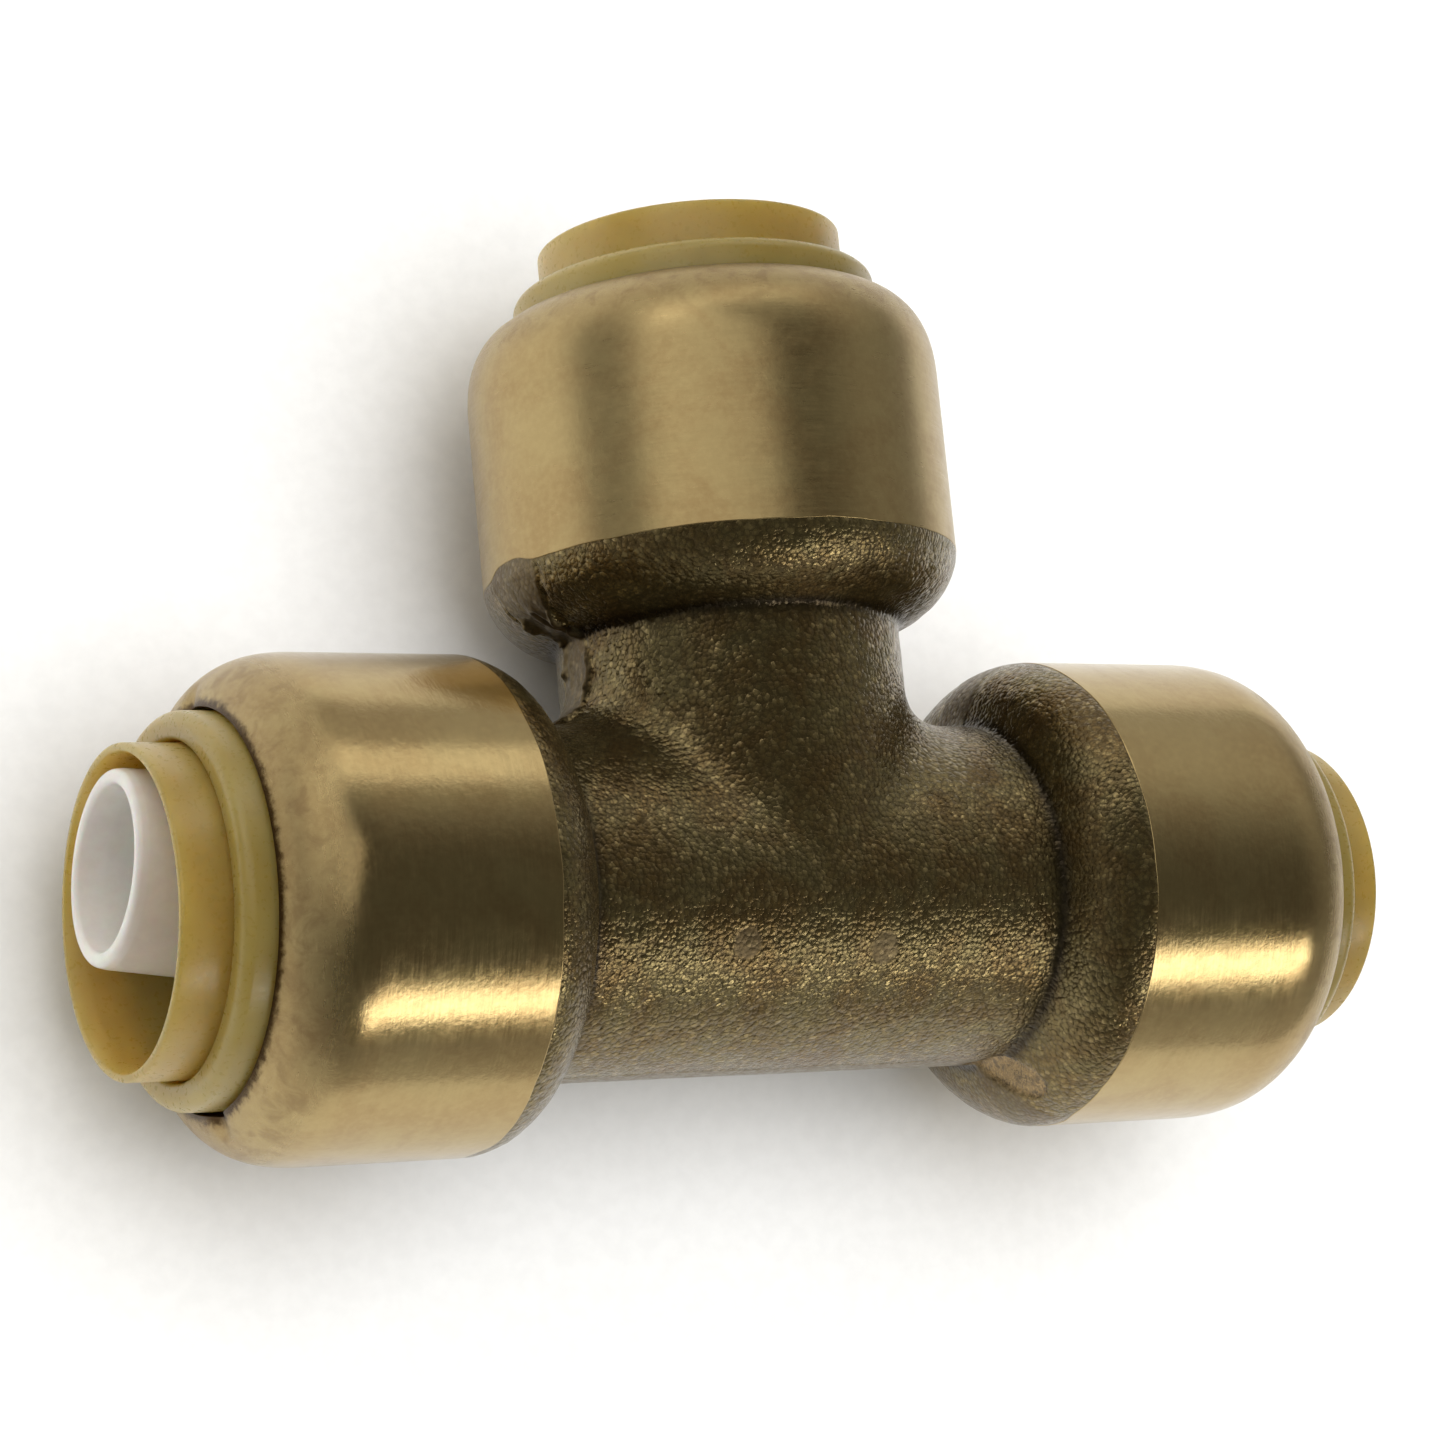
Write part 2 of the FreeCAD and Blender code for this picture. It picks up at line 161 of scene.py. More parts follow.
def port_matrix(port, lean=0.0, pivot=0.0):
    """Takes a piece made along +X from the centre into its port."""
    turn, extra, _ = PORTS[port]
    outward = Matrix.Translation((extra + pivot, 0, 0))
    return Matrix.Rotation(math.radians(turn), 4, "Z") @ outward @ Matrix.Rotation(lean, 4, "Z")


def turned(name, outline, port, segments=256, lean=0.0, pivot=0.0, relief=None):
    """The closed outline turned about the port's axis. relief(along, out, angle) may move its points."""
    outline = np.array(outline)
    angles = np.arange(segments) * 2 * math.pi / segments
    along = np.repeat(outline[None, :, 0], segments, 0)
    out = np.repeat(outline[None, :, 1], segments, 0)
    angle = np.repeat(angles[:, None], len(outline), 1)
    if relief:
        along, out = relief(along, out, angle)
    points = np.stack([along, out * np.cos(angle), out * np.sin(angle)], -1).reshape(-1, 3)
    turn = np.array(port_matrix(port, lean, pivot))
    points = points @ turn[:3, :3].T + turn[:3, 3]
    count = len(outline)
    faces = []
    for i in range(segments):
        j = (i + 1) % segments
        for k in range(count):
            following = (k + 1) % count
            faces.append((i * count + k, i * count + following, j * count + following, j * count + k))
    piece = mesh_object(name, points, faces)
    fix_normals(piece)
    return piece


def fix_normals(piece):
    """Face normals outwards."""
    work = bmesh.new()
    work.from_mesh(piece.data)
    bmesh.ops.recalc_face_normals(work, faces=work.faces)
    work.to_mesh(piece.data)
    work.free()


def applied(piece):
    """The piece with its modifiers made real."""
    graph = bpy.context.evaluated_depsgraph_get()
    mesh = bpy.data.meshes.new_from_object(piece.evaluated_get(graph))
    piece.modifiers.clear()
    piece.data = mesh
    return piece


def paint(piece, material, body):
    """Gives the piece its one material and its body."""
    piece.data.materials.clear()
    piece.data.materials.append(material)
    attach(piece, body)


# ---------------------------------------------------------------- noise
def value_noise(points, seed):
    """Smooth noise from -1 to 1 at each point, one cell per unit."""
    cell = np.floor(points).astype(np.int64)
    part = points - cell
    ease = part * part * (3 - 2 * part)
    total = np.zeros(len(points))
    for corner in range(8):
        offset = np.array([corner & 1, corner >> 1 & 1, corner >> 2 & 1])
        key = (cell + offset) @ np.array([73856093, 19349663, 83492791]) + seed * 2654435761
        key = (key ^ (key >> 13)) * 1274126177
        value = ((key ^ (key >> 16)) & 0xFFFF) / 32767.5 - 1
        weight = np.prod(np.where(offset == 1, ease, 1 - ease), axis=1)
        total += value * weight
    return total


def layered(points, size, octaves, seed):
    """Noise with finer layers added. size is the largest feature in millimetres."""
    total, height = np.zeros(len(points)), 1.0
    for octave in range(octaves):
        total += height * value_noise(points / size * 2**octave + 17.3 * octave, seed + octave)
        height *= 0.5
    return total


# ---------------------------------------------------------------- the cast part of the body
def smooth_max(a, b, soft):
    """The larger of a and b, with a fillet between them."""
    gap = np.clip(0.5 + 0.5 * (b - a) / soft, 0, 1)
    return a + (b - a) * gap + soft * gap * (1 - gap)


def rise(value, start, length, low=0):
    """From low before the start up to 1 a length later."""
    return np.clip((value - start) / length, low, 1)


def fade(value, end, length, low=0):
    """From 1, a length before the end, down to low after it."""
    return np.clip((end - value) / length, low, 1)


def bell(gap, width):
    """1 where the gap is nothing, fading to 0 on either side."""
    return np.exp(-((gap / width) ** 2))


def edge_of(port, angle):
    """How far from the centre the turned skin starts at this angle about the port's axis."""
    ring = np.stack([SOCKET_R * np.cos(angle), SOCKET_R * np.sin(angle), np.zeros_like(angle)], -1)
    wavy = EDGE_WAVE * layered(ring.reshape(-1, 3), EDGE_WAVE_SIZE, 4, 40 + len(port)).reshape(angle.shape)
    parting = EDGE_AT_PARTING * np.exp(-((SOCKET_R * np.sin(angle) / PARTING_REACH) ** 4))
    return np.minimum(PORTS[port].edge + wavy + parting, LAST_EDGE + PORTS[port].extra)


def cast_radius(along, edge):
    """Outside radius of the casting at this distance from the centre, for a socket turned from edge on."""
    arc_end = edge + SHOULDER_PAST_EDGE
    apex = SOCKET_R + SHOULDER_PROUD
    inside = np.clip(arc_end - along, 0, SHOULDER_REACH)
    arc = apex - SHOULDER_ARC + np.sqrt(SHOULDER_ARC**2 - inside**2)
    past = np.clip(arc_end - along - SHOULDER_REACH, 0, None)
    return smooth_max(arc - past * math.tan(SHOULDER_SWEEP), np.full_like(arc, BARREL_R), SHOULDER_FILLET)


def run_radius(x):
    """Outside radius of the run at each X."""
    return cast_radius(np.abs(x), np.where(x < 0, PORTS["left"].edge, PORTS["right"].edge))


def branch_radius(y):
    """Outside radius of the branch at each Y."""
    return cast_radius(y, PORTS["branch"].edge)


def shade_and_dirt(points):
    """Painted shade and dirt: 1 in the corner between a shoulder and the barrel or neck, fading to 0 on
    either side of it.
    """
    x, y, z = points.T
    run_r, branch_r = np.hypot(y, z), np.hypot(x, z)
    depth = np.zeros(len(points))
    for port, along, out in (("left", -x, run_r), ("right", x, run_r), ("branch", y, branch_r)):
        gap = np.hypot(along - PORTS[port].edge - CORNER_FROM_EDGE, out - BARREL_R - CORNER_FROM_BARREL)
        depth = np.maximum(depth, bell(gap, CORNER_R))
    return depth


def cast_distance(points):
    """How far each point is outside the casting's skin, with the run and the branch blended."""
    x, y, z = points.T
    run_r, branch_r = np.hypot(y, z) + 1e-9, np.hypot(x, z) + 1e-9
    run = run_r - run_radius(x)
    branch = np.where(y > 0, branch_r - branch_radius(y), 99.0)
    square = 1 - np.clip(z * z / (run_r * branch_r), 0, 1)
    soft = 0.05 + 3.2 * square
    blend = np.clip(0.5 + 0.5 * (branch - run) / soft, 0, 1)
    return branch + (run - branch) * blend - soft * blend * (1 - blend)


def skin_slope(points, step=0.01):
    """The skin's distance at each point and how it changes along X, Y and Z."""
    here = cast_distance(points)
    return here, np.stack([cast_distance(points + step * axis) - here for axis in np.eye(3)], 1) / step


def onto_skin(points, rounds=4):
    """The points moved along the skin's slope until they lie on it, and the skin's normal there."""
    for _ in range(rounds):
        here, slope = skin_slope(points)
        points = points - (here / (slope**2).sum(1).clip(0.2))[:, None] * slope
    slope /= np.linalg.norm(slope, axis=1)[:, None].clip(1e-6)
    return points, slope


def packed_middle():
    """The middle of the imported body, cut across its three sockets and closed, as mesh data."""
    work = bmesh.new()
    work.from_mesh(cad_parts["tee_body"].data)
    for port in PORTS.values():
        turn = math.radians(port.turn)
        outward = Vector((math.cos(turn), math.sin(turn), 0))
        everything = work.verts[:] + work.edges[:] + work.faces[:]
        cut = bmesh.ops.bisect_plane(work, geom=everything, dist=1e-7, clear_outer=True,
                                     plane_co=outward * (CAST_END + port.extra) * MM, plane_no=outward)
        edges = [item for item in cut["geom_cut"] if isinstance(item, bmesh.types.BMEdge)]
        bmesh.ops.triangle_fill(work, edges=edges, use_beauty=True)
    mesh = bpy.data.meshes.new("casting")
    work.to_mesh(mesh)
    work.free()
    return mesh


def make_casting():
    """The rough barrel, neck and shoulders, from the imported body's middle."""
    voxel = VOXEL
    piece = bpy.data.objects.new("tee_casting", packed_middle())
    bpy.context.scene.collection.objects.link(piece)
    remesh = piece.modifiers.new("even", "REMESH")
    remesh.mode = "VOXEL"
    remesh.voxel_size = voxel * MM
    applied(piece)
    refine(piece)
    points = coordinates(piece)
    skin = outer_skin(piece, points, END_MARGIN * voxel)
    moved, normal = onto_skin(points[skin])
    lift, worked, filed, split = cast_relief(moved)
    moved = moved + normal * lift[:, None]
    # painted shade and dirt in the shoulder corners, less on the worked strips, and painted shade in the
    # crack and the strip's split
    dark = np.maximum(shade_and_dirt(moved) * (1 - 0.75 * worked), split)
    for name, amount in (("worked", worked), ("filed", filed), ("shade_and_dirt", dark)):
        whole = np.zeros(len(points))
        whole[skin] = amount
        piece.data.attributes.new(name, "FLOAT", "POINT").data.foreach_set("value", whole)
    widen_bores(points, ~skin)
    points[skin] = moved
    tuck_under(points, skin)
    piece.data.vertices.foreach_set("co", (points * MM).ravel())
    piece.data.polygons.foreach_set("use_smooth", [True] * len(piece.data.polygons))
    piece.data.update()
    return piece


def outer_skin(piece, points, margin):
    """Which points lie on the casting's outside, short of its ends. There the mesh faces as the skin does."""
    x, y, _ = points.T
    facing = np.empty(points.size)
    piece.data.vertices.foreach_get("normal", facing)
    here, slope = skin_slope(points)
    outwards = (facing.reshape(-1, 3) * slope).sum(1) > 0
    short = (np.abs(x) < CAST_END - margin) & (y < CAST_END + PORTS["branch"].extra - margin)
    return outwards & (here > -DEEPEST_OUTSIDE) & short


def widen_bores(points, inside):
    """Moves the casting's bores out of the way of the turned sockets, which have bores of their own."""
    x, y, _ = points.T
    bores = ((0, RUN_BORE_START, run_radius(x)), (1, BRANCH_BORE_START, branch_radius(y)))
    for axis, start, outside in bores:
        across = [1 - axis, 2]
        out = np.hypot(*points[:, across].T)
        chosen = inside & (np.abs(points[:, axis]) > start) & (out < WIDEST_BORE)
        if axis:
            chosen &= (np.abs(x) < RUN_BORE_START) | (y > CLEAR_OF_RUN)
        room = (outside - THINNEST_WALL - out).clip(0)
        room = np.where(np.abs(points[:, axis]) < WALL_KEPT_TO, room, BORE_CLEARANCE)
        wider = out + np.minimum(BORE_CLEARANCE * fade(out, WIDEST_BORE, BORE_EASE), room)
        points[np.ix_(chosen, across)] *= (wider / out.clip(1))[chosen][:, None]


def tuck_under(points, skin):
    """Keeps the casting's outside just under the turned skins where they overlap."""
    for axis, edge in ((0, PORTS["left"].edge), (1, PORTS["branch"].edge)):
        across = [1 - axis, 2]
        out = np.hypot(*points[:, across].T)
        under = skin & (np.abs(points[:, axis]) > edge - UNDER_LENGTH) & (out > SOCKET_R - UNDER_SKIN)
        points[np.ix_(under, across)] *= ((SOCKET_R - UNDER_SKIN) / out[under])[:, None]


def coordinates(piece):
    """The piece's points in millimetres."""
    points = np.empty(len(piece.data.vertices) * 3)
    piece.data.vertices.foreach_get("co", points)
    return points.reshape(-1, 3) / MM


def refine(piece):
    """Divides the faces of the parting strips, the crack, the ejector marks and the filed patches."""
    margin = 0.7
    points = coordinates(piece)
    near = cast_distance(points) > -0.5
    _, worked, filed, _ = cast_relief(points)
    _, in_strip, _ = parting_band(points)
    from_crack, _ = crack_gap(points)
    band = near & ((worked > 0) | (filed > 0) | (in_strip > -margin) | (from_crack < margin))
    work = bmesh.new()
    work.from_mesh(piece.data)
    work.verts.ensure_lookup_table()
    edges = [edge for edge in work.edges if band[edge.verts[0].index] and band[edge.verts[1].index]]
    bmesh.ops.subdivide_edges(work, edges=edges, cuts=1, use_grid_fill=True)
    work.to_mesh(piece.data)
    work.free()


def line_gap(points, first, last):
    """Distance of each point from the line between two points, and how far along the line it is, 0 to 1."""
    first, line = np.array(first), np.array(last) - np.array(first)
    along = np.clip((points - first) @ line / (line @ line), 0, 1)
    return np.linalg.norm(points - first - along[:, None] * line, axis=1), along


def crack_gap(points):
    """Distance of each point from the crack beside the branch's strip, and how far along it is, 0 to 1."""
    first, last = np.array(CRACK)
    line, _ = onto_skin(first + np.linspace(0, 1, 9)[:, None] * (last - first))
    gaps = [line_gap(points, *pair)[0] for pair in zip(line, line[1:])]
    return np.min(gaps, 0), line_gap(points, first, last)[1]


def parting_band(points):
    """How much each point's strip was trimmed, how far inside its edge the point is, and how rough it is."""
    x, y, z = points.T
    from_centre, beside = np.abs(x), np.abs(x) < BESIDE_BRANCH
    up_branch = rise(y, NECK_START, 0.8) * fade(y, NECK_END, 0.5) * beside
    belly = (y < BELLY) * fade(from_centre, RUN_END, 0.5)
    upper = (y > ABOVE_RUN) * (from_centre > BESIDE_BRANCH) * fade(from_centre, RUN_END, 0.5)
    shoulder = 0.45 * np.clip(y - 15.2, 0, 2.6) * beside + 0.2 * np.clip(from_centre - 14.2, 0, 2.6)
    wander = STRIP_WANDER * layered(points * np.array([1, 1, 0.15]), 1.6, 3, 21)
    width = STRIP_HALF_WIDTH + shoulder + wander
    rough = up_branch * rise(-x, 6, 2, 0.25) * fade(y, 17.4, 1.2, 0.15)
    return np.clip(up_branch + 0.8 * belly + 0.8 * upper, 0, 1), width - np.abs(z - STRIP_MIDDLE), rough


def cast_relief(points):
    """Height of the casting's marks, and how much each point was worked smooth, filed or split."""
    x, y, z = points.T
    grain = 0.014 * layered(points, 0.45, 2, 3) + 0.020 * layered(points, 2.2, 2, 9)
    grain += 0.03 * layered(points, 7, 1, 5)

    # the trimmed flash, with a ragged lip and a split along its edge on the branch
    where, inside, rough = parting_band(points)
    flash = np.clip(inside / 0.12, 0, 1) * where
    ragged = np.clip(0.25 + 1.5 * layered(points, 1.2, 3, 31), 0, 1.5)
    curl = bell(inside - 0.2, 0.26) * rough * ragged
    split = bell(inside + 0.2, 0.16) * rough * np.clip(0.35 + 1.4 * layered(points, 1.7, 2, 57), 0, 1)
    lift = grain * (1 - 0.4 * flash) + (0.03 + 0.06 * rough) * flash + FLASH_LIP * curl - FLASH_SPLIT * split
    lift += 0.05 * flash * rough * layered(points * np.array([1, 0.5, 1]), 0.8, 3, 91)

    worked = flash
    for centre_x, centre_y in EJECTOR_MARKS:
        gap = np.hypot(x - centre_x, y - centre_y)
        mark = fade(gap, EJECTOR_R, 0.15) * (z > 0)
        rim = bell(gap - EJECTOR_R, 0.12) * (z > 0)
        lift = lift * (1 - mark) - EJECTOR_DEPTH * mark - EJECTOR_GROOVE * rim
        worked = np.maximum(worked, mark)

    gap, along = crack_gap(points)
    gap = np.abs(gap - 0.10 * layered(points, 1.1, 2, 77))
    open_here = np.sin(math.pi * np.clip(along, 0.04, 0.96)) ** 0.5
    cleft = open_here * bell(gap, 0.15)
    lift += CRACK_LIP * open_here * bell(gap - 0.36, 0.18) - CRACK_DEPTH * cleft
    split = np.maximum(split, cleft)

    filed = np.zeros(len(points))
    for patch in FILED:
        gap, _ = line_gap(points, *patch)
        cut = fade(gap, FILED_R, 0.12)
        lift = lift * (1 - cut) - FILED_DEPTH * cut
        filed = np.maximum(filed, cut)
    return lift, worked, filed, split


# ---------------------------------------------------------------- turned and moulded pieces
def nose_outside():
    """The nose's outside, from where it leaves the cylinder to the mouth."""
    middle = SOCKET_R - NOSE_ARC
    first, mouth = NOSE_START - NOSE_EASE, NOSE_START + NOSE_REACH
    left = ((NOSE_OPENING - middle) / NOSE_ARC) ** NOSE_POWER
    reach = (mouth - first) / (1 - left) ** (1 / NOSE_POWER)
    curve = []
    for turn in np.linspace(0, math.pi / 2, 34):
        x = first + (mouth - first) * math.sin(turn)
        height = max(0.0, 1 - ((x - first) / reach) ** NOSE_POWER) ** (1 / NOSE_POWER)
        curve.append((x, middle + NOSE_ARC * height))
    return curve


def nose_inside():
    """The nose's inside, from the mouth back to the packing bore."""
    middle = SOCKET_R - NOSE_ARC
    inner = PACKING_R - middle
    top = math.acos((NOSE_OPENING - middle) / inner)
    return [(NOSE_START + inner * math.sin(a), middle + inner * math.cos(a)) for a in np.linspace(top, 0, 14)]


def socket_outline(start):
    """The turned socket's section, from where its outside skin starts."""
    outside, back = nose_outside(), nose_inside()
    seat = SEAL_SEAT + 0.1
    corners = [
        (start + 1.2, 12.7, 0), (start + 0.25, SOCKET_R - 0.2, 0), (start, SOCKET_R - 0.04, 0),
        (start + 0.02, SOCKET_R, 0), (start + 0.08, SOCKET_R, 0),
    ]
    corners += [(x, r, 0) for x, r in outside[:-1]]
    corners += [(*outside[-1], 0.22), (*back[0], 0.1)]
    corners += [(x, r, 0) for x, r in back[1:]]
    corners += [
        (PACKING_SEAT, PACKING_R, 0.05), (PACKING_SEAT, SEAL_R, 0.15), (seat, SEAL_R, 0.9),
        (seat, PILOT_R, 0.3), (TUBE_STOP, PILOT_R, 0.1), (TUBE_STOP, WATERWAY_R, 0.2),
    ]
    inside_the_casting = [(11.0, 8.3), (15.5, 8.5), (15.5, 10.2), (15.9, 11.0), (16.8, 11.5), (17.6, 12.3)]
    corners += [(x, r, 0) for x, r in [(11.0, WATERWAY_R)] + inside_the_casting]
    return spaced(rounded(corners), 1.2)


def socket_relief(port, start):
    """Moves the skin's first points to the casting's wavy edge, and dents the lip at the parting plane."""
    def relief(along, out, angle):
        shift = edge_of(port, angle) - PORTS[port].extra - start
        along = along + shift * (along < start + 0.45) * (out > SOCKET_R - 0.4)
        off_plane = np.abs(out * np.sin(angle))
        lip = np.clip((along - NOSE_START - NOSE_REACH + 0.75) / 0.7, 0, 1) * bell(off_plane, LIP_HALF_WIDTH)
        return along - LIP_BACK * lip, out + LIP_OUT * lip
    return relief


def collar_outline():
    """The release collar, with the barb that the ring's lip holds in."""
    corners = [
        (COLLAR_END, COLLAR_BORE, 0.15), (COLLAR_END, COLLAR_R, 0.2), (23.6, COLLAR_R, 0.2),
        (25.2, 9.6, 0.15), (26.2, 9.6, 0.1), (26.2, COLLAR_R, 0.1), (COLLAR_RIM, COLLAR_R, 0.38),
        (COLLAR_RIM, 8.30, 0.15), (COLLAR_RIM - 1.0, COLLAR_BORE, 1.2),
    ]
    return spaced(rounded(corners, 0.08), 0.9)


def ring_outline():
    """The retaining ring, shaped to the inside of the nose."""
    inner = NOSE_ARC - SOCKET_R + PACKING_R - 0.1
    centre = SOCKET_R - NOSE_ARC
    top = math.acos((RING_NECK_R - centre) / inner)
    turns = np.linspace(0, top, 12)
    arc = [(NOSE_START + inner * math.sin(a), centre + inner * math.cos(a), 0) for a in turns]
    corners = [(RING_INNER, RING_CAVITY_R, 0.1), (RING_INNER, centre + inner, 0.15)] + arc + [
        (RING_FACE, RING_NECK_R, 0.85), (RING_FACE, RING_BORE, 0.25), (RING_LIP, RING_BORE, 0.1),
        (RING_LIP, RING_CAVITY_R, 0.1),
    ]
    return spaced(rounded(corners, 0.08), 0.8)


def liner_outline():
    """The tube liner, from its flange to its tapered tip, measured from its pivot."""
    corners = [
        (-0.45, LINER_BORE, 0.3), (-0.45, 7.2, 0.25), (0.45, 7.2, 0.25), (0.45, 5.75, 0.3), (9.6, 5.75, 4.0),
        (LINER_LENGTH - 0.6, 5.2, 0.8), (LINER_LENGTH, 5.1, 0.5), (LINER_LENGTH, 4.35, 0.3),
        (LINER_LENGTH - 1.6, LINER_BORE, 2.0),
    ]
    return spaced(rounded(corners, 0.08), 0.8)


# ---------------------------------------------------------------- materials
def new_material(name):
    material = bpy.data.materials.new(name)
    material.use_nodes = True
    nodes = material.node_tree.nodes
    nodes.clear()
    output = nodes.new("ShaderNodeOutputMaterial")
    shader = nodes.new("ShaderNodeBsdfPrincipled")
    material.node_tree.links.new(shader.outputs[0], output.inputs[0])
    return material, shader


class Graph:
    """Short ways to add and join the nodes of one material."""

    def __init__(self, owner):
        self.tree = owner.node_tree
        self.place = self.add("ShaderNodeTexCoord").outputs["Object"]

    def add(self, kind, **settings):
        node = self.tree.nodes.new(kind)
        for name, value in settings.items():
            setattr(node, name, value)
        return node

    def join(self, value, socket):
        if isinstance(value, bpy.types.NodeSocket):
            self.tree.links.new(value, socket)
        else:
            socket.default_value = value

    def stretched(self, scale):
        """Object coordinates in millimetres, each axis multiplied by its scale."""
        node = self.add("ShaderNodeMapping")
        self.join(self.place, node.inputs["Vector"])
        node.inputs["Scale"].default_value = [1000 * s for s in scale]
        return node.outputs[0]

    def noise(self, where, scale, detail=2.0, rough=0.5, distortion=0.0):
        node = self.add("ShaderNodeTexNoise")
        self.join(where, node.inputs["Vector"])
        settings = {"Scale": scale, "Detail": detail, "Roughness": rough, "Distortion": distortion}
        for name, value in settings.items():
            node.inputs[name].default_value = value
        return node.outputs["Fac"]

    def spread(self, value, low, high, to_low=0.0, to_high=1.0):
        """A smooth change from to_low to to_high as the value goes from low to high."""
        node = self.add("ShaderNodeMapRange")
        node.interpolation_type = "SMOOTHSTEP"
        settings = {"Value": value, "From Min": low, "From Max": high, "To Min": to_low, "To Max": to_high}
        for name, item in settings.items():
            self.join(item, node.inputs[name])
        return node.outputs["Result"]

    def maths(self, operation, a, b=0.0):
        node = self.add("ShaderNodeMath", operation=operation)
        self.join(a, node.inputs[0])
        self.join(b, node.inputs[1])
        return node.outputs[0]

    def mix(self, amount, a, b):
        node = self.add("ShaderNodeMix", data_type="RGBA")
        self.join(amount, node.inputs["Factor"])
        self.join(a, node.inputs["A"])
        self.join(b, node.inputs["B"])
        return node.outputs["Result"]

    def scratches(self, turn, across=12.0, along=0.3, width=0.05):
        """Thin straight scratches, 1 on a scratch and 0 elsewhere. turn is their direction in degrees."""
        node = self.add("ShaderNodeMapping", vector_type="TEXTURE")
        self.join(self.place, node.inputs["Vector"])
        node.inputs["Rotation"].default_value = [math.radians(a) for a in turn]
        node.inputs["Scale"].default_value = (MM / across, MM / along, MM / across)
        field = self.noise(node.outputs[0], 1.0, 2.0, 0.6)
        return self.spread(self.maths("ABSOLUTE", self.maths("SUBTRACT", field, 0.5)), 0.0, width, 1.0, 0.0)

    def parts(self, vector):
        node = self.add("ShaderNodeSeparateXYZ")
        self.join(vector, node.inputs[0])
        return list(node.outputs)

    def vector_maths(self, operation, a, b=None):
        node = self.add("ShaderNodeVectorMath", operation=operation)
        self.join(a, node.inputs[0])
        if b is not None:
            self.join(b, node.inputs["Scale" if operation == "SCALE" else 1])
        return node.outputs[0]

    def cells(self, where, scale):
        """Grains of one size: the distance from each grain's middle, and a random colour for each."""
        node = self.add("ShaderNodeTexVoronoi")
        self.join(where, node.inputs["Vector"])
        node.inputs["Scale"].default_value = scale
        return node.outputs["Distance"], node.outputs["Color"]

    def facets(self, colour, tilt, normal):
        """Turns each grain's normal its own way."""
        centred = self.vector_maths("SUBTRACT", colour, (0.5, 0.5, 0.5))
        turned_by = self.vector_maths("SCALE", centred, self.maths("MULTIPLY", tilt, 2.0))
        return self.vector_maths("NORMALIZE", self.vector_maths("ADD", normal, turned_by))

    def bump(self, height, distance, strength=1.0, under=None):
        node = self.add("ShaderNodeBump")
        self.join(height, node.inputs["Height"])
        node.inputs["Distance"].default_value = distance * MM
        node.inputs["Strength"].default_value = strength
        if under:
            self.join(under, node.inputs["Normal"])
        return node.outputs["Normal"]


def srgb(red, green, blue):
    """A colour given on the 0 to 255 scale that screens show."""
    shown = [c / 255 for c in (red, green, blue)]
    return (*[c / 12.92 if c <= 0.04045 else ((c + 0.055) / 1.055) ** 2.4 for c in shown], 1.0)


def turned_brass(name, axis, nose_start, satin=0.0):
    """Satin brass: fine marks around the axis, a scuffed and stained nose, brown oxide at the mouth."""
    material, shader = new_material(name)
    g = Graph(material)
    ringed = g.stretched([7.0 if i == axis else 0.45 for i in range(3)])
    plain = g.stretched((1, 1, 1))
    parts = g.parts(plain)
    sides = [g.maths("POWER", part, 2.0) for i, part in enumerate(parts) if i != axis]
    out = g.maths("SQRT", g.maths("ADD", *sides))
    along = g.maths("ABSOLUTE", parts[axis])
    nose = g.spread(along, nose_start + 0.2, nose_start + 2.6)
    lines = g.noise(ringed, 1.0, 4.0, 0.65)
    cloud = g.noise(plain, 0.22, 4.0, 0.6, 0.6)
    speck = g.noise(plain, 2.4, 4.0, 0.62)
    stain = g.spread(g.noise(plain, 0.75, 5.0, 0.66, 0.5), 0.44, 0.66)
    base = g.mix(g.spread(cloud, 0.35, 0.65), srgb(172, 151, 106), srgb(163, 139, 96))
    base = g.mix(g.maths("MULTIPLY", g.spread(speck, 0.35, 0.7), 0.4), base, srgb(182, 161, 114))
    worn = g.maths("MULTIPLY", nose, stain)
    base = g.mix(g.maths("MULTIPLY", worn, 0.45), base, srgb(132, 106, 74))
    mouth = g.maths("ADD", out, g.maths("MULTIPLY", g.maths("SUBTRACT", speck, 0.5), 0.9))
    base = g.mix(g.spread(mouth, 11.25, 10.75), base, srgb(74, 55, 32))
    g.join(base, shader.inputs["Base Color"])
    shader.inputs["Metallic"].default_value = 1.0
    rough = g.spread(lines, 0.3, 0.7, 0.15 + satin, 0.21 + satin)
    rough = g.maths("ADD", rough, g.maths("MULTIPLY", nose, 0.12 - satin))
    g.join(g.maths("ADD", rough, g.maths("MULTIPLY", stain, 0.04)), shader.inputs["Roughness"])
    scuffs = g.maths("MAXIMUM", g.scratches((0, 25, 40)), g.scratches((70, 0, -35)))
    scuffs = g.maths("MAXIMUM", scuffs, g.scratches((30, 60, 80)))
    normal = g.bump(lines, 0.010, 0.35)
    normal = g.bump(speck, 0.020, 0.4, normal)
    g.join(g.bump(g.maths("MULTIPLY", scuffs, nose), 0.006, 0.6, normal), shader.inputs["Normal"])
    return material


